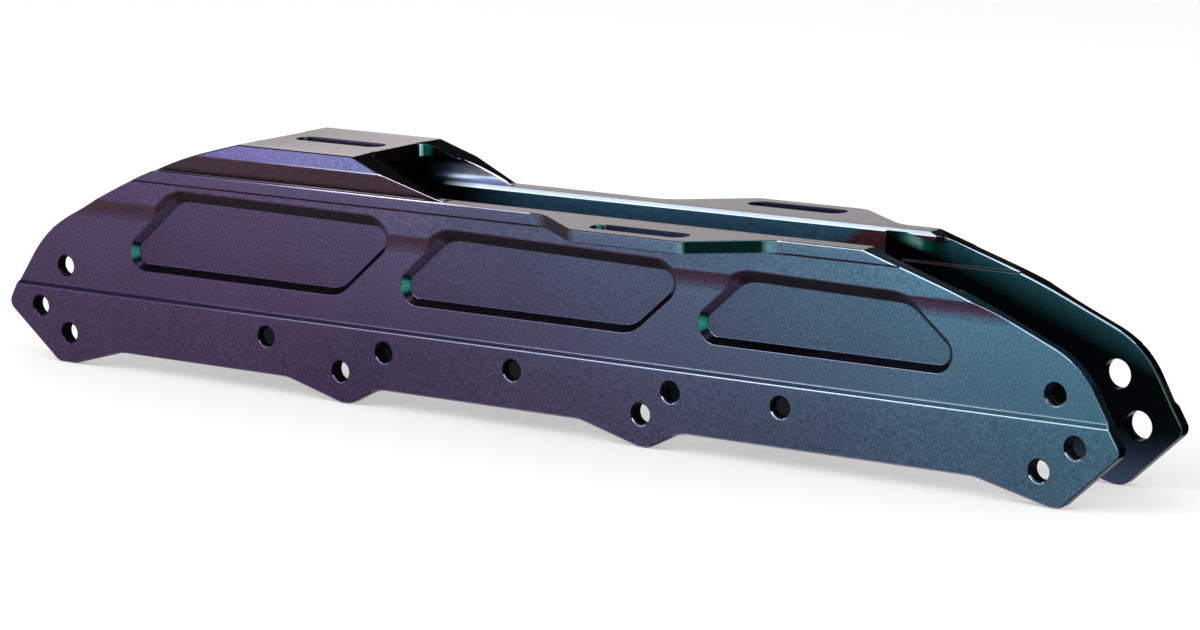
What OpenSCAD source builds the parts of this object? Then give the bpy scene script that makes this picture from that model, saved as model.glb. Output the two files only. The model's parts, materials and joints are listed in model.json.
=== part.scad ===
// Inline skate frame machined from one aluminium extrusion, with three screw-in axles in its middle row.
// X runs forward and Z up. The lobes stand on Z 0, midway along the frame.
// The wall at minus Y holds the axle threads, the wall at plus Y takes the axle heads.

/* [Length] */
// Half of the overall length
half_length = 202; // [201:0.5:203]
// Rear edge of the heel deck
heel_rear_x = -101; // [-103:0.5:-98]
// Front edge of the heel deck
heel_front_x = -56.5; // [-58:0.5:-54]
// Front end of the rails' flat top
rail_front_x = 122; // [119:0.5:124]

/* [Height] */
// Top of the heel deck
heel_z = 75; // [74.5:0.25:76]
// Top of the rails and the toe tabs
rail_z = 64; // [63.75:0.25:64.5]
// Top of the proud band along the foot of each wall
band_z = 24.3; // [24:0.1:25.2]
// Lower edge of the walls between the lobes
belly_z = 5.5; // [4.5:0.25:6]

/* [Width] */
// Half width of the wheel channel
channel_half = 14.4; // [14:0.1:14.6]
// Half width over the proud band
band_half = 18.5; // [18:0.1:19]
// Half width over the plain wall
wall_half = 17.5; // [17.3:0.1:17.8]
// Half width over the thick upper wall
upper_half = 19.2; // [19:0.1:19.4]
// Half width over the rails
rail_half = 19.6; // [19.5:0.1:20]
// Half width of the gap between the rails
gap_half = 12.7; // [12.4:0.1:13]
// Half width over the toe tabs
tab_half = 35.7; // [34:0.1:37]

/* [Heel block] */
// Half width of the heel deck
deck_half = 20.6; // [20:0.1:21]
// Half width at the flared edge below the deck
flare_half = 22; // [21.5:0.1:22.5]
// Half width at the foot of the flare
waist_half = 18.2; // [17.8:0.1:18.6]
// Height of the flared edge
flare_z = 70.5; // [69.5:0.25:71]
// Slope of the ramp from the heel deck down to the rails
ramp_angle = 19.3; // [18:0.1:21]

/* [Boot slots] */
// Length of each boot bolt slot, end to end
slot_length = 32.5; // [28:0.5:35]
// Width of each slot, for an M6 bolt
slot_width = 6.7; // [6.4:0.1:7]
// Middle of the heel slot
heel_slot_x = -78.2; // [-80:0.1:-77]
// Midpoint between the two toe slots
toe_slot_x = 61; // [59:0.1:63]
// How far each toe slot lies before or behind that midpoint
toe_stagger = 7.5; // [0:0.1:9]
// Distance of each toe slot from the centre plane
toe_slot_y = 27.6; // [27:0.1:28]
// Thickness of the toe tabs
tab_thickness = 3.7; // [3:0.1:4]

/* [Axle holes] */
// Height of the middle row
middle_row_z = 17; // [16.5:0.1:17.5]
// Height of the lobe row
lobe_row_z = 9.5; // [9:0.1:10]
// Height of the upper row
upper_row_z = 30.5; // [30:0.1:31]
// Spacing of the five even holes of the middle row
middle_pitch = 94; // [92:0.5:94.5]
// Wall radius of each threaded hole
thread_r = 3; // [2.9:0.05:3.1]
// Radius of each plain hole
plain_r = 4.15; // [4.1:0.05:4.3]

/* [Side pockets] */
// Half width over the pocket floors
pocket_half = 15.5; // [15.4:0.1:16.2]
// Height of the pockets' lower edge at the floor
pocket_z = 34; // [33.5:0.1:35]
// Slant of the pockets' ends
pocket_slant = 40; // [38:0.5:44]

/* [Axles] */
// Radius of the axle shank
shank_r = 4; // [3.9:0.05:4]
// Radius of the axle head
head_r = 6; // [5.5:0.1:6.4]
// Thickness of the axle head
head_h = 3; // [2.5:0.1:3.5]
// Size across the flats of the hex socket
hex_size = 4; // [3:0.5:5]

/* [Hidden] */
$fn = 64;

frame_color = "#4b4a66";
axle_color = "#3a3b40";

// Cutters pass this far through the faces that they open
over = 2;
// Largest gap between an arc and the straight steps that draw it
arc_gap = 0.015;

// Side view: joints of the lower edge, the two noses and the top line
lobe_flat = 3;
long_ramp = 21;
short_ramp = 11;
inner_lobes = [-63.5, 46.7];
rear_lobe = [-181, -174];
rear_foot_x = -154;
front_lobe = [180.3, 183.3];
front_foot_x = 156.5;
nose_z = middle_row_z - 0.4;
tip_r = 4;
foot_r = 14;
nose_r = 3;
brow_rear_r = 44;
brow_front_r = 26;
rear_crown_r = 240;
front_crown_r = 200;
ramp_r = 14;
ramp_run = (heel_z - rail_z) / tan(ramp_angle);
rear_brow = [-184.6, 42];
rear_crown = [-134, 66.6];
front_crown = [156, 53.5];
front_brow = [189.4, 39.4];
front_shoulder = [197.7, 24];
front_shoulder_r = 8;
rear_shoulder = [-198, 23.8];

// Section: ledges, the cove under the upper wall, and the slopes inside
band_slope = 1.2;
cove_r = 10;
cove_top_z = 52.7;
cove_angle = acos(1 - (upper_half - wall_half) / cove_r);
cove_steps = 8;
tab_z = rail_z - tab_thickness;
channel_top_z = 55;
gap_chamfer = 1.1;
tunnel_half = 16.3;
tunnel_top_z = 70.7;
tunnel_foot_r = 2.2;
tunnel_crown_r = 3;
opening_z = (rail_z + tunnel_top_z) / 2;

// Openings before and behind the heel deck, and the round ended recesses at both ends
opening_half = 14;
opening_corner = 5.2;
recess_half = 15.2;
front_recess_x = 116.4;
rear_recess_x = -131;

// Lip over the front recess: where its underside starts to drop, levels out and ends, and both heights
lip_x = [115, 122.5, 124];
lip_z = [63.2, 61.5];

// Toe tabs, in plan
tab_straight = 37;
tab_diagonal = 36.5;
tab_run = (tab_half - rail_half) / tan(tab_diagonal);
tab_corner = 8;
tab_fillet = 14;

// Axle holes along X, row by row
middle_row = [for (k = [-2:2]) k * middle_pitch];
extra_middle = [-48, 56.5];
lobe_row = [-176, -65, 46, 177];
upper_row = [-177.4, 181.4];
mouth_chamfer = 0.5;
plain_chamfer = 0.3;

// Pockets: rear and front ends of the lower edge, heights of the top edge, lean of both ends
pockets = [
    [-153.7, -65.9, 54.9, 54, 1, 1],
    [-45.9, 42, 52.6, 51.1, 1, 1],
    [61.4, 153.8, 50.8, 49.8, 1, -1]
];
tight_corner = 3.6;
wide_corner = 10;
pocket_depth = 4.7;

// Axles
seat_gap = 0.15;
end_inset = 1.4;
thread_gap = 0.08;
shank_end = seat_gap - channel_half;
thread_end = end_inset - band_half;
axle_thread_r = thread_r - thread_gap;
head_chamfer = 0.8;
tip_chamfer = 0.5;
socket_depth = 2;

// Plane geometry

function flat(p) = [p[0], p[1]];

function unit(v) = v / norm(v);

function between(a, b) = acos(a * b) / 2;

// Centre of the arc that rounds a corner, tangent to both of its sides
function arc_centre(before, corner, after, r) =
    let (a = unit(flat(before) - flat(corner)))
    let (b = unit(flat(after) - flat(corner)))
    flat(corner) + unit(a + b) * r / sin(between(a, b));

// Points of one corner [x, y, radius], as an arc where it has a radius, which grow adds to
function corner_points(before, corner, after, grow) =
    let (a = unit(flat(before) - flat(corner)))
    let (b = unit(flat(after) - flat(corner)))
    let (r = len(corner) > 2 ? corner[2] : 0)
    let (c = arc_centre(before, corner, after, r))
    let (start = flat(corner) + a * r / tan(between(a, b)) - c)
    let (sweep = sign(cross(b, a)) * (180 - 2 * between(a, b)))
    let (steps = r > 0 ? max(2, ceil(abs(sweep) / (2 * acos(1 - arc_gap / r)))) : 0)
    let (first = atan2(start[1], start[0]))
    r == 0 ? [flat(corner)] :
    [for (k = [0:steps]) c + (r + grow) * [cos(first + sweep * k / steps), sin(first + sweep * k / steps)]];

// Outline through a list of corners [x, y, radius], moved outwards by grow where every corner is round
function rounded(corners, grow = 0) =
    let (n = len(corners))
    [for (i = [0:n - 1])
        each corner_points(corners[(i + n - 1) % n], corners[i], corners[(i + 1) % n], grow)];

// Mirrors a half outline, given from bottom to top at plus Y, into a whole one
function both_sides(half) = concat(half, [for (i = [len(half) - 1:-1:0]) [-half[i][0], half[i][1]]]);

// One lobe of the lower edge, with its ramps' lengths behind and before the flat tip
function lobe(x, rear, front) = [
    [x - lobe_flat / 2 - rear, belly_z, foot_r],
    [x - lobe_flat / 2, 0, tip_r],
    [x + lobe_flat / 2, 0, tip_r],
    [x + lobe_flat / 2 + front, belly_z, foot_r]
];

// Placing

module along_x(x0, x1) {
    translate([x0, 0, 0]) rotate([90, 0, 90]) linear_extrude(x1 - x0) children();
}

module across_y(width) {
    rotate([90, 0, 0]) linear_extrude(width, center = true) children();
}

module along_y(y0, y1, r, x, z) {
    translate([x, y1, z]) rotate([90, 0, 0]) cylinder(h = y1 - y0, r = r);
}

module slot_cut(x, y, z0, z1) {
    straight = slot_length - slot_width;
    translate([x, y, z0]) {
        for (side = [-1, 1]) translate([side * straight / 2, 0, 0]) cylinder(h = z1 - z0, d = slot_width);
        translate([-straight / 2, -slot_width / 2, 0]) cube([straight, slot_width, z1 - z0]);
    }
}

// Frame

module side_outline() {
    polygon(rounded(concat(
        [[-half_length, nose_z, nose_r]],
        [[rear_lobe[0], 0, tip_r], [rear_lobe[1], 0, tip_r], [rear_foot_x, belly_z, foot_r]],
        lobe(inner_lobes[0], long_ramp, short_ramp),
        lobe(inner_lobes[1], long_ramp, short_ramp),
        [[front_foot_x, belly_z, foot_r], [front_lobe[0], 0, tip_r], [front_lobe[1], 0, tip_r]],
        [[half_length, nose_z, nose_r], concat(front_shoulder, [front_shoulder_r])],
        [concat(front_brow, [brow_front_r]), concat(front_crown, [front_crown_r]), [rail_front_x, rail_z]],
        [[heel_front_x + ramp_run, rail_z, ramp_r], [heel_front_x, heel_z], [heel_rear_x, heel_z]],
        [concat(rear_crown, [rear_crown_r]), concat(rear_brow, [brow_rear_r]), rear_shoulder]
    )));
}

module outer_section() {
    cove = [for (k = [0:cove_steps])
        [wall_half + cove_r * (1 - cos(cove_angle * k / cove_steps)),
         cove_top_z - cove_r * (sin(cove_angle) - sin(cove_angle * k / cove_steps))]];
    polygon(both_sides(concat(
        [[band_half, -over], [band_half, band_z - band_slope], [wall_half, band_z]],
        cove,
        [[upper_half, tab_z], [rail_half, tab_z], [rail_half, rail_z], [waist_half, rail_z]],
        [[flare_half, flare_z], [deck_half, heel_z]]
    )));
}

module channel_section() {
    polygon(both_sides([
        [channel_half, -2 * over],
        [channel_half, channel_top_z],
        [gap_half, channel_top_z + channel_half - gap_half],
        [gap_half, rail_z - gap_chamfer],
        [gap_half + gap_chamfer, rail_z],
        [gap_half + gap_chamfer, opening_z]
    ]));
}

module tunnel_section() {
    polygon(rounded([
        [-tunnel_half, rail_z, tunnel_foot_r],
        [tunnel_half, rail_z, tunnel_foot_r],
        [tunnel_half, tunnel_top_z, tunnel_crown_r],
        [-tunnel_half, tunnel_top_z, tunnel_crown_r]
    ]));
}

module toe_tab(x) {
    foot = tab_straight / 2 + tab_run;
    root = foot + tab_fillet / 2;
    translate([x, 0, tab_z]) linear_extrude(tab_thickness) polygon(rounded([
        [-root, gap_half + 2 * gap_chamfer],
        [root, gap_half + 2 * gap_chamfer],
        [root, rail_half],
        [foot, rail_half, tab_fillet],
        [tab_straight / 2, tab_half, tab_corner],
        [-tab_straight / 2, tab_half, tab_corner],
        [-foot, rail_half, tab_fillet],
        [-root, rail_half]
    ]));
}

// Opening from height z up, with round corners
module top_opening(x0, x1, half, z) {
    translate([0, 0, z]) linear_extrude(heel_z) polygon(rounded([
        [x0, -half, opening_corner],
        [x1, -half, opening_corner],
        [x1, half, opening_corner],
        [x0, half, opening_corner]
    ]));
}

// Recess with a full round end at x, running out past the nose on the given side
module end_recess(x, side) {
    run = half_length;
    translate([x, 0, channel_top_z]) {
        cylinder(h = heel_z, r = recess_half);
        translate([side > 0 ? 0 : -run, -recess_half, 0]) cube([run, 2 * recess_half, heel_z]);
    }
}

// Recess under the rails' front ends, below a lip that drops forwards, and open from the lip's end on
module front_recess() {
    intersection() {
        end_recess(front_recess_x, 1);
        across_y(2 * wall_half) polygon([
            [0, 0],
            [2 * half_length, 0],
            [2 * half_length, lip_z[1]],
            [lip_x[1], lip_z[1]],
            [lip_x[0], lip_z[0]],
            [0, lip_z[0]]
        ]);
    }
    top_opening(lip_x[2], 2 * half_length, recess_half, channel_top_z);
}

// Pocket in the wall at minus Y, with a flat floor and sides that flare outwards at 45 degrees
module side_pocket(p) {
    lean = 1 / tan(pocket_slant);
    corners = [
        [p[0], pocket_z, tight_corner],
        [p[1], pocket_z, p[5] > 0 ? wide_corner : tight_corner],
        [p[1] + p[5] * lean * (p[3] - pocket_z), p[3], p[5] > 0 ? tight_corner : wide_corner],
        [p[0] + p[4] * lean * (p[2] - pocket_z), p[2], wide_corner]
    ];
    bottom = rounded(corners);
    mouth = rounded(corners, pocket_depth);
    n = len(bottom);
    polyhedron(
        points = concat(
            [for (q = bottom) [q[0], -pocket_half, q[1]]],
            [for (q = mouth) [q[0], -pocket_half - pocket_depth, q[1]]]
        ),
        faces = concat(
            [[for (i = [0:n - 1]) i]],
            [[for (i = [0:n - 1]) 2 * n - 1 - i]],
            [for (i = [0:n - 1]) [(i + 1) % n, i, n + i, n + (i + 1) % n]]
        )
    );
}

// Threaded hole at minus Y with its flared mouth, and the plain hole opposite
module axle_hole(x, z, face_half) {
    along_y(-band_half - over, 0, thread_r, x, z);
    translate([x, -face_half + mouth_chamfer, z]) rotate([90, 0, 0])
        cylinder(h = 2 * mouth_chamfer, r1 = thread_r, r2 = thread_r + 2 * mouth_chamfer);
    along_y(0, band_half + over, plain_r, x, z);
    translate([x, face_half - plain_chamfer, z]) rotate([-90, 0, 0])
        cylinder(h = 2 * plain_chamfer, r1 = plain_r, r2 = plain_r + 2 * plain_chamfer);
}

module frame_body() {
    color(frame_color) difference() {
        union() {
            intersection() {
                along_x(-half_length - over, half_length + over) outer_section();
                across_y(2 * flare_half + over) side_outline();
            }
            mirror([0, 1, 0]) toe_tab(toe_slot_x - toe_stagger);
            toe_tab(toe_slot_x + toe_stagger);
        }
        along_x(-half_length - 2 * over, half_length + 2 * over) channel_section();
        along_x(-half_length, heel_front_x + 2 * ramp_run) tunnel_section();
        top_opening(heel_front_x, heel_front_x + 2 * ramp_run, opening_half, opening_z);
        top_opening(-half_length, heel_rear_x, opening_half, opening_z);
        front_recess();
        end_recess(rear_recess_x, -1);
        slot_cut(heel_slot_x, 0, opening_z, heel_z + over);
        slot_cut(toe_slot_x - toe_stagger, -toe_slot_y, tab_z - over, rail_z + over);
        slot_cut(toe_slot_x + toe_stagger, toe_slot_y, tab_z - over, rail_z + over);
        for (p = pockets) side_pocket(p);
        for (p = pockets) mirror([0, 1, 0]) side_pocket(p);
        for (x = concat(middle_row, extra_middle)) axle_hole(x, middle_row_z, band_half);
        for (x = lobe_row) axle_hole(x, lobe_row_z, band_half);
        for (x = upper_row) axle_hole(x, upper_row_z, wall_half);
    }
}

// Axles

// Axle along Y: low head at plus Y with a hex socket, plain shank, threaded end at minus Y
module axle(x) {
    head_face = band_half + head_h;
    color(axle_color) translate([x, 0, middle_row_z]) rotate([-90, 0, 0]) difference() {
        rotate_extrude() polygon([
            [0, thread_end],
            [axle_thread_r - tip_chamfer, thread_end],
            [axle_thread_r, thread_end + tip_chamfer],
            [axle_thread_r, shank_end],
            [shank_r - tip_chamfer, shank_end],
            [shank_r, shank_end + tip_chamfer],
            [shank_r, band_half],
            [head_r, band_half],
            [head_r, head_face - head_chamfer],
            [head_r - head_chamfer, head_face],
            [0, head_face]
        ]);
        translate([0, 0, head_face - socket_depth])
            cylinder(h = socket_depth + over, d = hex_size / cos(30), $fn = 6);
    }
}

module axle_rear() {
    axle(middle_row[1]);
}

module axle_middle() {
    axle(middle_row[2]);
}

module axle_front() {
    axle(middle_row[3]);
}

frame_body();
axle_rear();
axle_middle();
axle_front();
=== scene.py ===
# %% [markdown]
# # An inline skate frame, dressed for its photograph
# The CAD model gives the exact shape: one machined aluminium frame and three screw-in axles. This lesson
# loads it, softens its edges, cuts its threads, and gives each metal its finish.

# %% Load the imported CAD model
import json
import math

import bmesh
import bpy
from mathutils import Matrix, Vector


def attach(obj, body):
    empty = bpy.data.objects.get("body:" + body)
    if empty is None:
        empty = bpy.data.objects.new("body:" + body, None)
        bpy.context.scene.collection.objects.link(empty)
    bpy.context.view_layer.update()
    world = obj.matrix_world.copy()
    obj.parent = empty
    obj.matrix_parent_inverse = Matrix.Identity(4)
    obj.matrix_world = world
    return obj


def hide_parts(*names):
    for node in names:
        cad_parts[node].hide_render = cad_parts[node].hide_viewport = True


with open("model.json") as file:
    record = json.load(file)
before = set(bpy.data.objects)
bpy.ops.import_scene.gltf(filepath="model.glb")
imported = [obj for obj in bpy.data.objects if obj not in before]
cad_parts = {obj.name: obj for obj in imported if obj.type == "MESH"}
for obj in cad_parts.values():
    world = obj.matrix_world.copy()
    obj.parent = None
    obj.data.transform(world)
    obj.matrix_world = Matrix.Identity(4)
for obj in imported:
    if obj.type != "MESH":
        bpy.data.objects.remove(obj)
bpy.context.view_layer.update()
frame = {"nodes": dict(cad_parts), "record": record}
nodes = frame["nodes"]
mounts = {mount["name"]: Vector(mount["pos_m"]) for mount in frame["record"]["mounts"]}
print("nodes:", sorted(nodes))

# %% [markdown]
# ## Camera
# A product photograph like this is taken from well back with a long lens, so that the near end doesn't
# swell. The camera stands to the right of the frame's near side and a little above it. It could be aimed
# with a Track To constraint, but that can't tilt it sideways. So its three axes are built from its angles
# instead: back points from the object to the camera, and right and up span the picture.

# %% Place the camera
MM = 0.001
scene = bpy.context.scene
scene.view_settings.view_transform = "Standard"

azimuth, elevation, roll = (math.radians(angle) for angle in (37.363, 10.929, -1.001))
flat_length = math.cos(elevation)
back = Vector((math.sin(azimuth) * flat_length, -math.cos(azimuth) * flat_length, math.sin(elevation)))
across = Vector((0, 0, 1)).cross(back).normalized()
upright = back.cross(across)
right = math.cos(roll) * across + math.sin(roll) * upright
up = math.cos(roll) * upright - math.sin(roll) * across

camera_at = MM * Vector((766.18, -979.62, 270.14))
lens = bpy.data.cameras.new("product_camera")
lens.sensor_width = 36
lens.lens = 130.86
camera = bpy.data.objects.new("product_camera", lens)
camera.matrix_world = Matrix.Translation(camera_at) @ Matrix((right, up, back)).transposed().to_4x4()
scene.collection.objects.link(camera)
scene.camera = camera
print("camera at", [round(v, 3) for v in camera.matrix_world.translation])

# %% [markdown]
# ## Two helpers for nodes
# Colours are picked as sRGB hex values, the way a paint program shows them, but shaders work in linear
# light. One function turns the first into the second. Another adds a node with its settings and links in
# one line, so that each finish below reads like a recipe.

# %% Colour and node helpers
def linear(hex_colour):
    """An sRGB hex colour such as "#4f3f5e" as a linear RGBA tuple."""
    channels = [int(hex_colour[i:i + 2], 16) / 255 for i in (1, 3, 5)]
    return tuple(c / 12.92 if c <= 0.04045 else ((c + 0.055) / 1.055) ** 2.4 for c in channels) + (1,)


def add(tree, kind, inputs=None, stops=(), **settings):
    """Adds one node. Inputs take values or links, and stops are a ramp's places and colours."""
    node = tree.nodes.new(kind)
    for name, value in settings.items():
        setattr(node, name, value)
    for name, value in (inputs or {}).items():
        if isinstance(value, bpy.types.NodeSocket):
            tree.links.new(value, node.inputs[name])
        else:
            node.inputs[name].default_value = value
    for i, (position, colour) in enumerate(stops):
        stop = node.color_ramp.elements[i] if i < 2 else node.color_ramp.elements.new(position)
        stop.position, stop.color = position, linear(colour)
    return node


print("violet grey in linear light:", [round(c, 3) for c in linear("#4f3f5e")[:3]])

# %% [markdown]
# ## Studio
# The photograph has a pure white ground. A picture could be cut out and laid on white, but metal also
# mirrors what is around it. So the world is white wherever the camera or a reflection looks at it. Only
# the light that it throws on matt surfaces is weaker, which leaves room for soft lamps and a shadow.

# %% White world
def seen_directly(tree):
    """1 for rays from the camera and for mirrored or refracted ones, 0 for light on a matt surface."""
    rays = add(tree, "ShaderNodeLightPath").outputs
    seen = rays["Is Camera Ray"]
    for kind in ("Is Glossy Ray", "Is Transmission Ray"):
        both = add(tree, "ShaderNodeMath", {0: seen, 1: rays[kind]}, operation="ADD", use_clamp=True)
        seen = both.outputs[0]
    return seen


light_on_matt = 0.55
world = bpy.data.worlds.new("white_studio")
scene.world = world
world.use_nodes = True
tree = world.node_tree
glow = add(tree, "ShaderNodeMapRange", {"Value": seen_directly(tree), "To Min": light_on_matt})
tree.links.new(glow.outputs["Result"], tree.nodes["Background"].inputs["Strength"])
tree.nodes["Background"].inputs["Color"].default_value = (1, 1, 1, 1)
print("world:", world.name)

# %% [markdown]
# The floor is one large disc of matt white board. It glows a little towards the camera, which lifts it to
# white, and the lamps' light on it still shows the soft shadow where the lobes stand.

# %% White floor
floor_radius, floor_drop, floor_glow = 6.0, 0.1 * MM, 0.42
bm = bmesh.new()
bmesh.ops.create_circle(bm, cap_ends=True, segments=96, radius=floor_radius)
bmesh.ops.translate(bm, verts=bm.verts, vec=(0, 0, -floor_drop))
floor_mesh = bpy.data.meshes.new("floor")
bm.to_mesh(floor_mesh)
bm.free()
floor = bpy.data.objects.new("floor", floor_mesh)
scene.collection.objects.link(floor)

board = bpy.data.materials.new("matt_white_board")
board.use_nodes = True
tree = board.node_tree
shader = tree.nodes["Principled BSDF"]
shader.inputs["Base Color"].default_value = linear("#e4e4e2")
shader.inputs["Roughness"].default_value = 0.95
shader.inputs["Specular IOR Level"].default_value = 0.1
shader.inputs["Emission Color"].default_value = (1, 1, 1, 1)
glow = add(tree, "ShaderNodeMath", {0: seen_directly(tree), 1: floor_glow}, operation="MULTIPLY")
tree.links.new(glow.outputs[0], shader.inputs["Emission Strength"])
floor.data.materials.append(board)
print("floor of", len(floor_mesh.polygons), "face")

# %% [markdown]
# Two wide soft lamps shape the metal: one high on the left, which brightens the painted highlight along
# each upper edge, and a weaker one on the right, so that the front end doesn't fall away.

# %% Soft lamps
lamps = {
    "softbox_left": {"at": (-0.9, -1.3, 1.5), "side": 1.4, "watts": 16},
    "softbox_right": {"at": (1.5, -0.5, 1.3), "side": 1.2, "watts": 7},
}
aim = Vector((0, 0, 0.03))
for name, lamp in lamps.items():
    data = bpy.data.lights.new(name, "AREA")
    data.shape = "SQUARE"
    data.size = lamp["side"]
    data.energy = lamp["watts"]
    softbox = bpy.data.objects.new(name, data)
    softbox.location = lamp["at"]
    softbox.rotation_euler = (aim - softbox.location).to_track_quat("-Z", "Y").to_euler()
    scene.collection.objects.link(softbox)
print("lamps:", list(lamps))

# %% [markdown]
# ## Anodised aluminium
# The frame is aluminium, blasted with fine glass beads and then anodised in a colour that shifts from
# violet at the heel to teal at the toe. Light and shade are painted into that colour by each face's
# direction: painted shade, brown to almost black, where a face looks down, a painted dark reflection close
# to black on the upper slopes, and painted highlights and glints on some faces. It could be painted face by
# face. Nodes that read each face's direction do it for all of them at once. The direction is that of the
# face on the frame itself, so the colour and its painted light stay put when the viewer walks round it.
# Three finishes share this start: a new metal, and the place and direction of each point on it.

# %% Anodised aluminium: what its finishes share
def start_anodised(name):
    """A new metal with its place and direction, each split into X, Y and Z."""
    metal = bpy.data.materials.new(name)
    metal.use_nodes = True
    tree = metal.node_tree
    place = add(tree, "ShaderNodeTexCoord").outputs
    at = add(tree, "ShaderNodeSeparateXYZ", {"Vector": place["Object"]}).outputs
    facing = add(tree, "ShaderNodeSeparateXYZ", {"Vector": place["Normal"]}).outputs
    print("started", metal.name)
    return metal, at, facing


# %% [markdown]
# Glass beads leave pits about 0.1 mm wide. That is finer than a pixel here, so the grain is drawn 0.7 mm
# wide. A milling cutter leaves marks along its path instead, so the size of a mark is given along X, Y
# and Z. The marks speckle the colour, vary the roughness and raise a very slight bump. The bath leaves
# soft clouds too. A noise keeps to the middle of its range, so that part of it is spread out.

# %% Anodised aluminium: marks, clouds and shader
noise_spread = {"From Min": 0.3, "From Max": 0.7}
cloud_mm, cloud_contrast = 45, 0.08
pit_mm, pit_strength = 0.02, 0.12


def finish_anodised(metal, tint, mark_mm, contrast, smoothest, roughest):
    """Speckles a colour with the surface's marks and the bath's clouds, and links it to the shader."""
    tree = metal.node_tree
    place = add(tree, "ShaderNodeTexCoord").outputs["Object"]
    marked = add(tree, "ShaderNodeMapping", {"Vector": place, "Scale": [1 / (mm * MM) for mm in mark_mm]})
    marks = add(tree, "ShaderNodeTexNoise",
                {"Vector": marked.outputs["Vector"], "Scale": 1.0, "Detail": 2.0}).outputs["Fac"]
    clouds = add(tree, "ShaderNodeTexNoise",
                 {"Vector": place, "Scale": 1 / (cloud_mm * MM), "Detail": 1.0}).outputs["Fac"]
    speckle, drift, satin = (
        add(tree, "ShaderNodeMapRange",
            {"Value": pattern, **noise_spread, "To Min": low, "To Max": high}).outputs["Result"]
        for pattern, low, high in ((marks, 1 - contrast, 1 + contrast),
                                   (clouds, 1 - cloud_contrast, 1 + cloud_contrast),
                                   (marks, smoothest, roughest)))
    value = add(tree, "ShaderNodeMath", {0: speckle, 1: drift}, operation="MULTIPLY")
    colour = add(tree, "ShaderNodeVectorMath", {0: tint, "Scale": value.outputs[0]}, operation="SCALE")
    pits = add(tree, "ShaderNodeBump", {"Height": marks, "Strength": pit_strength, "Distance": pit_mm * MM})
    shader = tree.nodes["Principled BSDF"]
    shader.inputs["Metallic"].default_value = 1.0
    tree.links.new(colour.outputs["Vector"], shader.inputs["Base Color"])
    tree.links.new(satin, shader.inputs["Roughness"])
    tree.links.new(pits.outputs["Normal"], shader.inputs["Normal"])
    print(metal.name, "has", len(tree.nodes), "nodes")


print("soft clouds are", cloud_mm, "mm wide")

# %% [markdown]
# The outside is blasted. Two ramps hold its colours from facing down to facing up, one for each end of
# the frame. Most of each ramp is painted light and shade: painted shade on faces that look down, a paler
# painted highlight on faces tilted a little up, and a painted dark reflection, close to black, on the upper
# slopes. A ramp runs from 0 to 1, so a face's upward share, which runs from -1 to 1, is moved into that
# range. The colour goes from violet to teal along X, slowly at first, and sooner high up than low down.

# %% Blasted outside: colour by direction and place
blasted, at, facing = start_anodised("anodised_aluminium_bead_blasted_painted_shading")
tree = blasted.node_tree
toe_lead, teal_lag = 1.2, 2.2
violet_until, teal_from = -114 * MM, 216 * MM
climb = add(tree, "ShaderNodeMath", {0: at["Z"], 1: toe_lead, 2: at["X"]}, operation="MULTIPLY_ADD")
along = add(tree, "ShaderNodeMapRange",
            {"Value": climb.outputs[0], "From Min": violet_until, "From Max": teal_from})
teal = add(tree, "ShaderNodeMath", {0: along.outputs["Result"], 1: teal_lag}, operation="POWER").outputs[0]
upwards = add(tree, "ShaderNodeMapRange", {"Value": facing["Z"], "From Min": -1.0})

# Painted shade below 0, a painted highlight from 0.12 to 0.30, a painted dark reflection from 0.50 to the
# decks.
heel_colours_and_painted_light = [
    (-1.0, "#150d12"), (-0.68, "#211720"), (-0.52, "#392730"), (-0.30, "#412d3b"), (-0.08, "#473753"),
    (0.0, "#4f3f5e"), (0.12, "#5b4c77"), (0.30, "#5d5188"), (0.40, "#4b416b"), (0.50, "#130f17"),
    (0.955, "#0c0a0b"), (0.985, "#857a7c"), (1.0, "#897e80"),
]
toe_colours_and_painted_light = [
    (-1.0, "#10131a"), (-0.68, "#211722"), (-0.52, "#372735"), (-0.30, "#46364f"), (-0.08, "#43667c"),
    (0.0, "#4c7288"), (0.12, "#5f8ca6"), (0.30, "#83a8ba"), (0.40, "#466779"), (0.50, "#0b1216"),
    (0.955, "#090809"), (0.985, "#575253"), (1.0, "#5a5556"),
]
heel, toe = (add(tree, "ShaderNodeValToRGB", {"Fac": upwards.outputs["Result"]},
                 stops=[((tilt + 1) / 2, colour) for tilt, colour in colours]).outputs["Color"]
             for colours in (heel_colours_and_painted_light, toe_colours_and_painted_light))
tint = add(tree, "ShaderNodeMix", {0: teal, 6: heel, 7: toe}, data_type="RGBA").outputs[2]
print("colour stops at each end:", len(heel_colours_and_painted_light), len(toe_colours_and_painted_light))

# %% [markdown]
# Some directions get a painted light or shade of their own, and some places a colour of their own. First
# the faces are told apart, each kind by a value from 0 to 1: those that look sideways, the blunt ends, the
# level decks, and the steep upper slopes. The slopes are the narrow ledge on the proud band and the tops of
# the walls. Below the decks, a level face counts as a slope too and gets its painted dark reflection,
# because only the decks are grey.

# %% Blasted outside: tell the faces apart
aside, endwise, outer = (add(tree, "ShaderNodeMath", {0: value}, operation="ABSOLUTE").outputs[0]
                         for value in (facing["Y"], facing["X"], at["Y"]))
sideways = add(tree, "ShaderNodeMapRange",
               {"Value": aside, "From Min": 0.30, "From Max": 0.45}).outputs["Result"]
square_on = add(tree, "ShaderNodeMath", {0: 1.0, 1: sideways}, operation="SUBTRACT").outputs[0]
blunt = add(tree, "ShaderNodeMapRange",
            {"Value": endwise, "From Min": 0.78, "From Max": 0.90, "To Max": square_on}).outputs["Result"]

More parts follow.
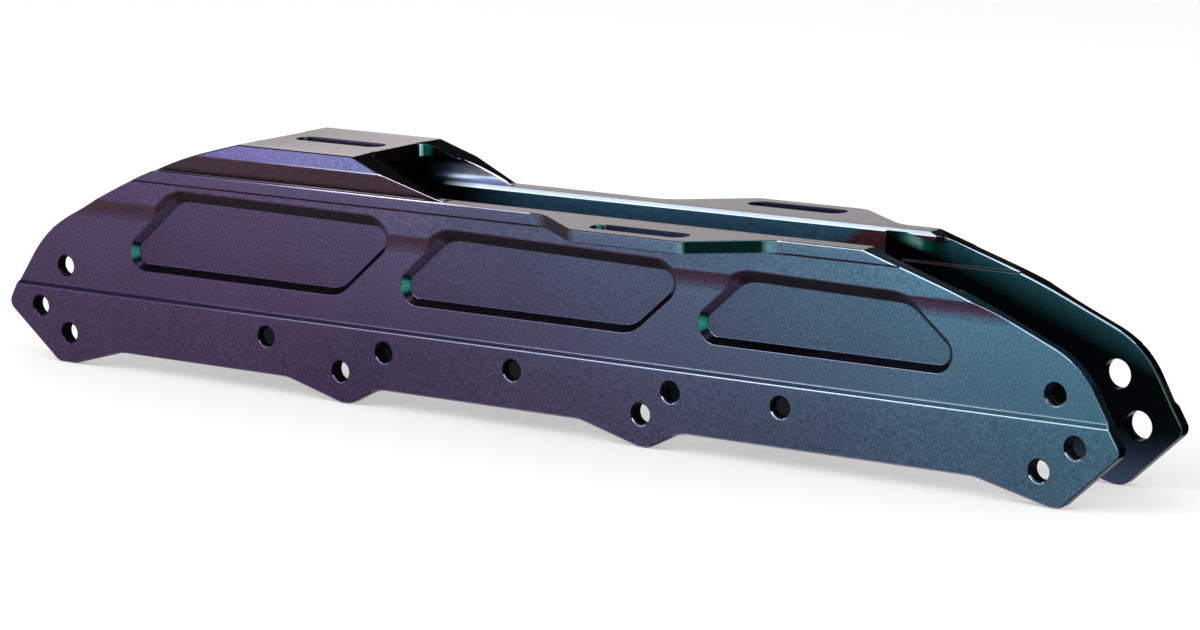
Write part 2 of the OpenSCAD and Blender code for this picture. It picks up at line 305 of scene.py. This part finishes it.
deck_foot = {"From Min": 63 * MM, "From Max": 62 * MM}
level_turn = {"From Min": 0.955, "From Max": 0.985}
below = add(tree, "ShaderNodeMapRange", {"Value": at["Z"], **deck_foot}).outputs["Result"]
level = add(tree, "ShaderNodeMapRange", {"Value": facing["Z"], **level_turn}).outputs["Result"]
rising = add(tree, "ShaderNodeMapRange", {"Value": facing["Z"], "From Min": 0.42, "From Max": 0.50})
steep = add(tree, "ShaderNodeMapRange",
            {"Value": facing["Z"], **level_turn, "To Min": rising.outputs["Result"], "To Max": below})
steep = steep.outputs["Result"]
ledge, wall_top = (add(tree, "ShaderNodeMath", {0: steep, 1: share}, operation="MULTIPLY").outputs[0]
                   for share in (sideways, square_on))
print(blasted.name, "tells faces apart with", len(tree.nodes), "nodes")

# %% [markdown]
# Each colour is then one more layer on the last: the value that it follows, where it starts and where it
# is full, how strong it gets, and its colour. The heel deck is palest at its front. The rest are painted
# light and shade. The top of the near wall gets a slate painted reflection at the toe. Turning forwards, the
# side of a toe tab gets a pale painted sheen and a pocket painted shade, and both then go to a dark green
# painted reflection, with a painted green glint at a pocket's corner. Backward faces get a brown painted
# shade, and the blunt ends a painted shade close to black. The ledge on the proud band gets a violet to
# slate painted shade.

# %% Blasted outside: layers for single directions
def lay_over(tree, tint, layers):
    """Lays colours over a first one, each from where its value starts to where it is full."""
    for value, start, full, strength, colour in layers:
        share = add(tree, "ShaderNodeMapRange",
                    {"Value": value, "From Min": start, "From Max": full, "To Max": strength})
        tint = add(tree, "ShaderNodeMix",
                   {0: share.outputs["Result"], 6: tint, 7: colour}, data_type="RGBA").outputs[2]
    return tint


# Painted shade on the band's ledge, violet at the heel and slate at the toe.
ledge_painted_shade = add(tree, "ShaderNodeMix", {0: teal, 6: linear("#241c30"), 7: linear("#2b4656")},
                 data_type="RGBA").outputs[2]
pocket, tab, near_top, heel_deck = (
    add(tree, "ShaderNodeMapRange",
        {"Value": value, "From Min": start * MM, "From Max": full * MM, "To Max": kind}).outputs["Result"]
    for value, start, full, kind in ((outer, 17.9, 17.6, sideways), (outer, 19.3, 19.6, sideways),
                                     (at["Y"], 0, -1, wall_top), (at["Z"], 70, 74, level)))
# Every layer but the heel deck's is painted light or shade.
layers = [
    (at["X"], -105 * MM, -50 * MM, heel_deck, linear("#aca2a6")),
    (below, 0.0, 1.0, level, linear("#0a090a")),
    (at["X"], 112 * MM, 128 * MM, near_top, linear("#1a2c38")),
    (facing["X"], 0.22, 0.38, tab, linear("#547c84")),
    (facing["X"], 0.30, 0.42, pocket, linear("#3a3449")),
    (facing["X"], 0.44, 0.56, sideways, linear("#061c1b")),
    (facing["X"], 0.62, 0.70, sideways, linear("#2f8578")),
    (facing["X"], -0.12, -0.50, 1.0, linear("#2a2028")),
    (blunt, 0.0, 1.0, 1.0, linear("#100c0e")),
    (at["Z"], 27 * MM, 25 * MM, ledge, ledge_painted_shade),
]
tint = lay_over(tree, tint, layers)
print("layers on the blasted outside:", len(layers))

# %% [markdown]
# Even a black metal turns white at a glancing angle. The slopes and blunt ends are painted dark, so the
# shader's edge tint comes down there to keep them dark. The whole colour is paler the higher it lies, a
# painted light, and darker on the pocket floors, a painted shade.

# %% Blasted outside: dark slopes, height and finish
dark_edge_tint, grain_mm = 0.45, 0.7
dark = add(tree, "ShaderNodeMath", {0: steep, 1: blunt}, operation="MAXIMUM").outputs[0]
edge_tint = add(tree, "ShaderNodeMapRange", {"Value": dark, "To Min": 1.0, "To Max": dark_edge_tint})
tree.links.new(edge_tint.outputs["Result"], tree.nodes["Principled BSDF"].inputs["Specular Tint"])
# Painted light that grows with height, and painted shade on the pocket floors.
height, pocket_floor_shade = (
    add(tree, "ShaderNodeMapRange", {"Value": value, "From Min": low * MM, "From Max": high * MM,
                                     "To Min": darkest, "To Max": palest}).outputs["Result"]
    for value, low, high, darkest, palest in ((at["Z"], 15, 60, 0.70, 1.15), (outer, 15.6, 17.2, 0.85, 1.0)))
value = add(tree, "ShaderNodeMath", {0: height, 1: pocket_floor_shade}, operation="MULTIPLY").outputs[0]
tint = add(tree, "ShaderNodeVectorMath", {0: tint, "Scale": value}, operation="SCALE").outputs["Vector"]
finish_anodised(blasted, tint, mark_mm=(grain_mm, grain_mm, grain_mm), contrast=0.28,
                smoothest=0.34, roughest=0.44)

# %% [markdown]
# The wheel channel, the gap between the rails and the two end recesses are milled and not blasted. They
# are smoother, so they mirror each other, and that mirroring is painted into their colour: deep teal on the
# rails with a brown painted reflection towards their front ends, painted shade almost black in the channel,
# and a teal painted reflection where the front walls slope away. Under the heel they get painted shade too.
# How far a place lies from the frame's middle plane tells the rails, the channel and the end recesses
# apart. Some borders lean, so they follow the height with a share of X added.

# %% Milled channel: rails and channel
milled, at, facing = start_anodised("anodised_aluminium_milled_channel_painted_shading")
tree = milled.node_tree
inner = add(tree, "ShaderNodeMath", {0: at["Y"]}, operation="ABSOLUTE").outputs[0]
rail_lean, wall_lean, glint_lean = (
    add(tree, "ShaderNodeMath", {0: at["X"], 1: lean, 2: at["Z"]}, operation="MULTIPLY_ADD").outputs[0]
    for lean in (-0.65, 0.37, 0.28))
(beyond_rails, deep, in_wall,
 rail_brown_reflection, wall_teal_reflection, in_the_light,
 clear_of_heel_shade, in_sun, past_heel, nose) = (
    add(tree, "ShaderNodeMapRange",
        {"Value": value, "From Min": low * MM, "From Max": high * MM}).outputs["Result"]
    for value, low, high in (
        (inner, 12.75, 12.9), (inner, 13.8, 13.95), (inner, 14.5, 14.7),
        (rail_lean, -0.6, -3.9), (wall_lean, 101.5, 110.5), (glint_lean, 91, 93),
        (at["X"], -42, -18), (at["X"], -50, -36), (at["X"], 0, 20), (at["X"], 150, 175)))

# Painted reflection and shade: brown at the rails' front ends, dark in the channel, teal high on the front
# walls, dark under the heel.
rail_tint_and_reflection, wall_shade_and_reflection = (
    add(tree, "ShaderNodeMix", {0: share, 6: linear(first), 7: linear(last)}, data_type="RGBA").outputs[2]
    for share, first, last in ((rail_brown_reflection, "#4f7d9c", "#6a4248"), (wall_teal_reflection, "#0c181c", "#458c99")))
tint = add(tree, "ShaderNodeMix", {0: clear_of_heel_shade, 6: linear("#060709"), 7: rail_tint_and_reflection},
           data_type="RGBA").outputs[2]
print(milled.name, "starts with", len(tree.nodes), "nodes")

# %% [markdown]
# Two places inside are bright. The round end of the front recess lies under a lip, and the light falls on
# it from the front: along X it goes from black to teal, almost white, green and back. Further down it is
# dark. The tunnel under the heel deck is black inside and shines blue at its front end, where daylight
# reaches its walls. Both colours are runs along X, and a function makes a run from places in millimetres.

# %% Milled channel: the bright places
def colour_along(tree, x, colours):
    """A colour that changes along X, from places in millimetres and the colours there."""
    start, end = colours[0][0], colours[-1][0]
    share = add(tree, "ShaderNodeMapRange", {"Value": x, "From Min": start * MM, "From Max": end * MM})
    ramp = add(tree, "ShaderNodeValToRGB", {"Fac": share.outputs["Result"]},
               stops=[((place - start) / (end - start), colour) for place, colour in colours])
    return ramp.outputs["Color"]


glint_colours = [(108, "#140d12"), (111, "#142a30"), (113, "#3a8f92"), (115.5, "#b4fff8"), (118, "#a8f4ec"),
                 (119.5, "#159a84"), (122.5, "#0a4a42"), (126, "#152f37")]
shine_colours = [(-58, "#05070c"), (-51, "#5a7896"), (-44, "#d6e4ff"), (-36, "#e4ecff")]
glint, shine = (colour_along(tree, at["X"], colours) for colours in (glint_colours, shine_colours))
glint = add(tree, "ShaderNodeMix", {0: in_the_light, 6: linear("#120a0c"), 7: glint},
            data_type="RGBA").outputs[2]
recess = add(tree, "ShaderNodeMapRange", {"Value": at["X"], "From Min": 122 * MM, "From Max": 128 * MM,
                                          "To Min": beyond_rails, "To Max": 0.0}).outputs["Result"]
print("colours of the glint and the shine:", len(glint_colours), len(shine_colours))

# %% [markdown]
# The other layers follow direction and height, and nearly all are painted light or shade. The front walls
# get a navy painted reflection at their foot, and the toe slots' walls a navy painted shade. Forward faces
# get painted shade, and the round corner of the heel opening a green painted glint, with one pale stripe.
# The chamfers between the rails and the fillets at the foot of the tunnel get a painted highlight where they
# catch the light. The threads come last: inside the holes it is always painted dark.

# %% Milled channel: layers and finish
fillet_highlight = add(tree, "ShaderNodeMix", {0: past_heel, 6: linear("#61729a"), 7: linear("#2c1f29")},
             data_type="RGBA").outputs[2]
lit = add(tree, "ShaderNodeMix", {0: deep, 6: linear("#bccad8"), 7: fillet_highlight}, data_type="RGBA").outputs[2]
nearwards = add(tree, "ShaderNodeMapRange", {"Value": facing["Y"], "From Min": -0.05, "From Max": -0.20})
corner_glint = add(tree, "ShaderNodeMapRange", {"Value": at["Z"], "From Min": 66 * MM, "From Max": 67 * MM,
                                          "To Max": nearwards.outputs["Result"]}).outputs["Result"]
shallow = add(tree, "ShaderNodeMath", {0: 1.0, 1: deep}, operation="SUBTRACT").outputs[0]
nose_floor_reflection = add(tree, "ShaderNodeMath", {0: deep, 1: nose}, operation="MULTIPLY").outputs[0]
# Painted shade, reflections, glints and highlights, layer by layer.
layers = [
    (deep, 0.0, 1.0, 1.0, wall_shade_and_reflection),
    (at["Z"], 16 * MM, 3 * MM, nose_floor_reflection, linear("#42506a")),
    (inner, 20 * MM, 21 * MM, 1.0, linear("#2f3d5c")),
    (at["Z"], 64 * MM, 65 * MM, in_wall, shine),
    (at["X"], 107.2 * MM, 107.6 * MM, recess, glint),
    (facing["X"], 0.42, 0.55, 1.0, linear("#140f14")),
    (facing["Z"], -0.30, -0.60, 1.0, linear("#07090c")),
    (facing["Z"], 0.25, 0.45, in_sun, lit),
    (facing["Z"], 0.92, 0.99, shallow, linear("#6d6666")),
    (facing["X"], 0.40, 0.62, corner_glint, linear("#155246")),
    (facing["X"], 0.84, 0.92, corner_glint, linear("#a8ece4")),
    (at["Z"], 52 * MM, 48 * MM, in_wall, linear("#0b0d11")),
]
tint = lay_over(tree, tint, layers)
finish_anodised(milled, tint, mark_mm=(2, 0.3, 0.3), contrast=0.08, smoothest=0.36, roughest=0.46)

# %% [markdown]
# Light catches each rounded edge as a thin pale line, and that highlight is painted into a finish of its
# own: dull violet at the heel, pale blue at the toe, brightest under the flare of the heel block. Lower
# edges get a mauve painted highlight, and the pockets' lips and the ledge's inner edge a duller one.

# %% Painted edge highlight
painted_edge_highlight, at, facing = start_anodised("anodised_aluminium_painted_edge_highlight")
tree = painted_edge_highlight.node_tree
# These pale colours are a painted highlight on the bevels.
edge_highlight_colours = [(-200, "#4c4468"), (-140, "#463b52"), (12, "#a5a2c0"), (92, "#c3cfe6"), (200, "#9bb8c6")]
tint = colour_along(tree, at["X"], edge_highlight_colours)

flare_highlight = add(tree, "ShaderNodeMapRange", {"Value": at["X"], "From Min": -95 * MM, "From Max": -45 * MM})
flare_highlight = add(tree, "ShaderNodeMapRange", {"Value": at["X"], "From Min": -32 * MM, "From Max": -12 * MM,
                                         "To Min": flare_highlight.outputs["Result"], "To Max": 0.0})
tint = lay_over(tree, tint, [(at["Z"], 58 * MM, 62 * MM, flare_highlight.outputs["Result"], linear("#eee5ff"))])

outer = add(tree, "ShaderNodeMath", {0: at["Y"]}, operation="ABSOLUTE").outputs[0]
proud = add(tree, "ShaderNodeMapRange",
            {"Value": outer, "From Min": 17.7 * MM, "From Max": 17.9 * MM, "To Min": 0.45})
raised = add(tree, "ShaderNodeMapRange", {"Value": at["Z"], "From Min": 36 * MM, "From Max": 40 * MM,
                                          "To Min": proud.outputs["Result"]}).outputs["Result"]
tint = add(tree, "ShaderNodeVectorMath", {0: tint, "Scale": raised}, operation="SCALE").outputs["Vector"]
tint = lay_over(tree, tint, [(facing["Z"], -0.05, -0.25, 1.0, linear("#6b5c66"))])
finish_anodised(painted_edge_highlight, tint, mark_mm=(3, 0.6, 0.6), contrast=0.10, smoothest=0.26, roughest=0.36)

# %% [markdown]
# ## Frame body
# A CAD solid has perfectly sharp edges, and they catch no light. On the real frame each edge is broken by
# a fraction of a millimetre. A Bevel modifier could do that. Here bmesh cuts the bevels, because it hands
# back the new faces, and some of them get a pale finish that paints a highlight on them. A CAD mesh is loose
# triangles. A copy of it is merged into one closed skin, and its flat faces are joined up. Faces that look
# back at the frame's middle plane are the milled ones, apart from the walls of the heel slot. So are the
# long walls of the toe slots and the floors of the recesses.

# %% Merge a copy of the CAD mesh
FINISHES = [blasted, milled, painted_edge_highlight]
weld, sliver, flat_turn = 0.001 * MM, 0.15 * MM, math.radians(0.4)
heel_slot_y, slot_x, slot_y, recess_floor = 10 * MM, 14 * MM, 3.5 * MM, 56 * MM
toe_slots = [mounts["toe_slot_near"], mounts["toe_slot_far"]]


def merged_copy(node):
    """A bmesh of a CAD node's triangles, merged into one skin with its flat faces joined up."""
    bm = bmesh.new()
    bm.from_mesh(nodes[node].data)
    bmesh.ops.remove_doubles(bm, verts=bm.verts, dist=weld)
    bmesh.ops.dissolve_limit(bm, angle_limit=flat_turn, verts=bm.verts, edges=bm.edges)
    return bm


bm = merged_copy("frame_body")
bmesh.ops.remove_doubles(bm, verts=bm.verts, dist=sliver)
for face in bm.faces:
    middle = face.calc_center_median()
    looks_in = abs(middle.y) > heel_slot_y and middle.y * face.normal.y < -2 * MM
    by_slot = any(abs(middle.x - slot.x) < slot_x and abs(middle.y - slot.y) < slot_y for slot in toe_slots)
    in_slot = by_slot and abs(face.normal.z) < 0.1
    on_floor = face.normal.z > 0.99 and middle.z < recess_floor
    face.material_index = FINISHES.index(milled if looks_in or in_slot or on_floor else blasted)
print("merged:", len(bm.verts), "points,", len(bm.faces), "faces")

# %% [markdown]
# An edge is broken where its two faces meet at more than 19 degrees. The cutter leaves the pockets and
# the lips over the front recess almost sharp, and the rest get a round of 0.4 mm. The pockets and lips
# are found by zones of X, distance from the middle plane, and Z. A wall's sloping top is told from its
# pockets by how far out it lies: its height and a share of X, added up. Three segments make each bevel a
# small round. The axle holes keep the chamfers that the CAD model has cut.

# %% Break the edges
holes = [spot for name, spot in mounts.items() if name.endswith("_thread") or name.startswith("wheel_seat")]
hole_reach = 4.7 * MM
least_turn = math.radians(19)
FINE, USUAL = 0.15 * MM, 0.4 * MM
anywhere = (-math.inf, math.inf)
pocket_zone = (anywhere, (15.4, 17.6), (28.5, 60))
lip_zone = ((105, 130), (12.5, 15.4), (61, 64.2))
wall_tops = ((0.37, 107.5 * MM), (-0.42, 117.5 * MM))


def by_a_hole(vert):
    return any(math.hypot(vert.co.x - hole.x, vert.co.z - hole.z) < hole_reach for hole in holes)


def lies_in(edge, zone):
    """True if both ends of an edge lie in a zone, given in millimetres."""
    return all(low * MM < place < high * MM for vert in edge.verts
               for place, (low, high) in zip((vert.co.x, abs(vert.co.y), vert.co.z), zone))


def edge_round(edge):
    """How far an edge is broken, from where both of its ends lie."""
    on_top = any(all(vert.co.z + lean * vert.co.x > reach for vert in edge.verts)
                 for lean, reach in wall_tops)
    in_pocket = lies_in(edge, pocket_zone) and not on_top
    return FINE if in_pocket or lies_in(edge, lip_zone) else USUAL


bevels = []
for width in (FINE, USUAL):
    sharp = [edge for edge in bm.edges
             if len(edge.link_faces) == 2 and edge.calc_face_angle() > least_turn
             and edge_round(edge) == width and not all(by_a_hole(vert) for vert in edge.verts)]
    made = bmesh.ops.bevel(bm, geom=sharp, offset=width, offset_type="OFFSET", segments=3, profile=0.5,
                           affect="EDGES", clamp_overlap=False, material=-1)
    bevels += made["faces"]
    print("broke", len(sharp), "edges by", round(width / MM, 2), "mm")
bm.normal_update()

# %% [markdown]
# A painted highlight goes on the bevels under the heel's flare, at the rails' front ends, on the outer
# edges that slope down towards the toe, on the far wall's inner ones, and on the lower edges. On the band's
# ledge and the pockets' lower lips it covers the crest alone. Those get the pale finish, and so does the
# lower lip of each hole's mouth, as a painted highlight too. The rest of the mouth gets the milled finish
# and its painted shade inside. A face is chosen by its place and its normal: turn is its share along X,
# side along Y and tilt along Z.

# %% Choose the edges with a painted highlight
wall_y, edge_y, tab_y = 17 * MM, 17.3 * MM, 20 * MM
foot_z, lip_z, rail_z, flare_z = 14 * MM, 34 * MM, 65 * MM, 70.8 * MM
rail_without_highlight, recess_without_highlight = (-25 * MM, 92 * MM), (100 * MM, 118 * MM)


def gets_painted_highlight(face):
    """True for a bevel face that gets the painted edge highlight."""
    middle = face.calc_center_median()
    y, (turn, side, tilt) = abs(middle.y), face.normal
    if middle.z > flare_z or y > tab_y and middle.z < rail_z:
        return False
    if y > edge_y and abs(turn) < 0.1:
        foot = middle.z < foot_z and -0.8 < tilt < -0.2
        crest = middle.z < lip_z and 0.2 < tilt < 0.45
        under_flare = middle.z > lip_z and middle.x < rail_without_highlight[0] and 0.1 < tilt < 0.9
        rail_end = middle.z > lip_z and middle.x > rail_without_highlight[1] and 0.1 < tilt < 0.6
        return foot or crest or under_flare or rail_end
    outside = 0.1 < tilt < 0.8
    inside = side < 0 and 0.1 < tilt < 0.95 and not recess_without_highlight[0] < middle.x < recess_without_highlight[1]
    return 0.05 < turn < 0.45 and abs(side) > 0.2 and (outside if y > wall_y else inside)


def in_mouth(face):
    """True for a face of a hole's flared mouth."""
    return 0.3 < abs(face.normal.y) < 0.9 and all(by_a_hole(vert) for vert in face.verts)


mouths = [face for face in bm.faces if in_mouth(face)]
for face in mouths:
    face.material_index = FINISHES.index(milled)
# These faces get the painted edge highlight.
highlighted = [face for face in bevels if face.is_valid and gets_painted_highlight(face)]
highlighted += [face for face in mouths if face.normal.z > 0.3]
for face in highlighted:
    face.material_index = FINISHES.index(painted_edge_highlight)
print("pale faces:", len(highlighted))

# %% [markdown]
# Two kinks in the top line are too shallow for a bevel: the front end of the rails and the rear edge of
# the heel deck. Smooth shading would blur them over the whole slope. A cut through the mesh just past
# each kink holds them crisp, because the shading then turns within that narrow strip. The cut adds points
# and moves none.

# %% Hold the shallow kinks
kink_strip = 0.4 * MM
rail_front, heel_rear = 122 * MM, -101 * MM
for x in (rail_front + kink_strip, heel_rear - kink_strip):
    bmesh.ops.bisect_plane(bm, geom=[*bm.verts, *bm.edges, *bm.faces],
                           plane_co=(x, 0, 0), plane_no=(1, 0, 0))
print("held at:", len(bm.faces), "faces")

# %% [markdown]
# ## Threads
# The near wall is tapped, and the ridges show in the mouths of its holes. A Boolean modifier could cut
# them out with a screw, but seldom leaves a clean skin. Here the plain wall of each hole is taken out,
# and its inner rim is extruded outwards ring by ring. Each point's radius follows the thread as it winds,
# so the rings draw a true spiral with a pitch of 1 mm, and the last ring is bridged to the mouth. The
# ridges fade out over the first and the last rings. The same function cuts a thread into a rod, with a
# negative ridge.

# %% A thread on a round wall along Y
pitch, rings_per_turn, fading_rings = 1.0 * MM, 6, 2
on_wall = 0.02 * MM


def cut_thread(bm, axis, wall_r, ridge, finish=0):
    """Replaces the plain round wall of one radius, at minus Y on the given axis, with a spiral thread."""
    def radius(vert):
        return math.hypot(vert.co.x - axis.x, vert.co.z - axis.z)

    wall = [face for face in bm.faces
            if all(vert.co.y < 0 and abs(radius(vert) - wall_r) < on_wall for vert in face.verts)]
    rims = [edge for edge in dict.fromkeys(edge for face in wall for edge in face.edges)
            if any(face not in wall for face in edge.link_faces)]
    bmesh.ops.delete(bm, geom=wall, context="FACES")
    middle = sum(edge.verts[0].co.y for edge in rims) / len(rims)
    ring = [edge for edge in rims if edge.verts[0].co.y > middle]
    mouth = [edge for edge in rims if edge.verts[0].co.y < middle]
    start, end = ring[0].verts[0].co.y, mouth[0].verts[0].co.y
    steps = round((start - end) / pitch * rings_per_turn)
    flanks = []
    for k in range(1, steps):
        made = bmesh.ops.extrude_edge_only(bm, edges=ring)["geom"]
        verts = {item for item in made if isinstance(item, bmesh.types.BMVert)}
        ring = [item for item in made if isinstance(item, bmesh.types.BMEdge) and set(item.verts) <= verts]
        y = start + (end - start) * k / steps
        fade = min(1, k / fading_rings, (steps - k) / fading_rings)
        for vert in verts:
            turn = math.atan2(vert.co.z - axis.z, vert.co.x - axis.x)
            phase = (y / pitch + turn / math.tau) % 1
            r = wall_r + ridge * (1 - abs(2 * phase - 1)) * fade
            vert.co = (axis.x + r * math.cos(turn), y, axis.z + r * math.sin(turn))
        flanks += [item for item in made if isinstance(item, bmesh.types.BMFace)]
    flanks += bmesh.ops.bridge_loops(bm, edges=ring + mouth)["faces"]
    for face in flanks:
        face.material_index = finish


hole_r, hole_ridge = 3.0 * MM, 0.42 * MM
for hole in holes:
    cut_thread(bm, hole, wall_r=hole_r, ridge=hole_ridge, finish=FINISHES.index(milled))
bmesh.ops.recalc_face_normals(bm, faces=bm.faces)
print("threaded holes:", len(holes), "open edges:", sum(len(edge.link_faces) != 2 for edge in bm.edges))

# %% [markdown]
# The finished skin is smooth shaded, sharp only where two faces still meet steeply. The Weighted Normal
# modifier lets the large flat faces stay flat and keeps the shading's turn inside the narrow bevels. A
# function makes a piece out of a finished mesh, because the axles need the same steps.

# %% Make the frame piece
sharp_turn = math.radians(40)


def make_piece(bm, name, finishes, body, node):
    """A smooth shaded object from a bmesh, riding a body in place of a CAD node."""
    mesh = bpy.data.meshes.new(name)
    bm.to_mesh(mesh)
    bm.free()
    mesh.shade_smooth()
    mesh.set_sharp_from_angle(angle=sharp_turn)
    for finish in finishes:
        mesh.materials.append(finish)
    piece = bpy.data.objects.new(name, mesh)
    scene.collection.objects.link(piece)
    weighted = piece.modifiers.new("flat faces stay flat", "WEIGHTED_NORMAL")
    weighted.weight = 100
    weighted.keep_sharp = True
    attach(piece, body)
    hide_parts(node)
    print(name, "has", len(mesh.polygons), "faces")


make_piece(bm, "machined_frame", FINISHES, "frame", "frame_body")

# %% [markdown]
# ## Axles
# The axles are turned from steel bar and blackened in a hot salt bath, which leaves a thin dark oxide
# with a dull shine. Turning leaves fine rings round the axis, so the colour and the roughness vary along
# the length only. The rings of a real cut are about 0.1 mm apart and are drawn 0.25 mm apart here, so
# that they show.

# %% Blackened steel
ring_mm = 0.25
steel = bpy.data.materials.new("turned_steel_blackened")
steel.use_nodes = True
tree = steel.node_tree
place = add(tree, "ShaderNodeTexCoord").outputs["Object"]
stretch = add(tree, "ShaderNodeMapping", {"Vector": place, "Scale": (1, 1 / (ring_mm * MM), 1)})
rings = add(tree, "ShaderNodeTexNoise",
            {"Vector": stretch.outputs["Vector"], "Scale": 1.0, "Detail": 2.0}).outputs["Fac"]
shade = add(tree, "ShaderNodeMapRange", {"Value": rings, **noise_spread, "To Min": 0.26, "To Max": 0.44})
tone = add(tree, "ShaderNodeMix", {0: rings, 6: linear("#0f1012"), 7: linear("#232428")}, data_type="RGBA")
shader = tree.nodes["Principled BSDF"]
shader.inputs["Metallic"].default_value = 1.0
tree.links.new(tone.outputs[2], shader.inputs["Base Color"])
tree.links.new(shade.outputs["Result"], shader.inputs["Roughness"])
print(steel.name, "has", len(tree.nodes), "nodes")

# %% [markdown]
# Each axle is a merged copy of its CAD node with its thread cut in. Its edges get a round of 0.15 mm,
# except at both ends of the thread, where the ridges fade out.

# %% Make the axles
axle_r, axle_ridge = 2.92 * MM, -0.4 * MM
axle_turn = math.radians(25)
for name in ("rear", "middle", "front"):
    bm = merged_copy(f"axle_{name}")
    ends = [edge for edge in bm.edges
            if edge.calc_face_angle() > axle_turn and all(vert.co.y > 0 for vert in edge.verts)]
    bmesh.ops.bevel(bm, geom=ends, offset=FINE, offset_type="OFFSET", segments=2, profile=0.5,
                    affect="EDGES", clamp_overlap=True, material=-1)
    cut_thread(bm, mounts[f"wheel_seat_{name}"], wall_r=axle_r, ridge=axle_ridge)
    bmesh.ops.recalc_face_normals(bm, faces=bm.faces)
    make_piece(bm, f"turned_axle_{name}", [steel], f"axle_{name}", f"axle_{name}")
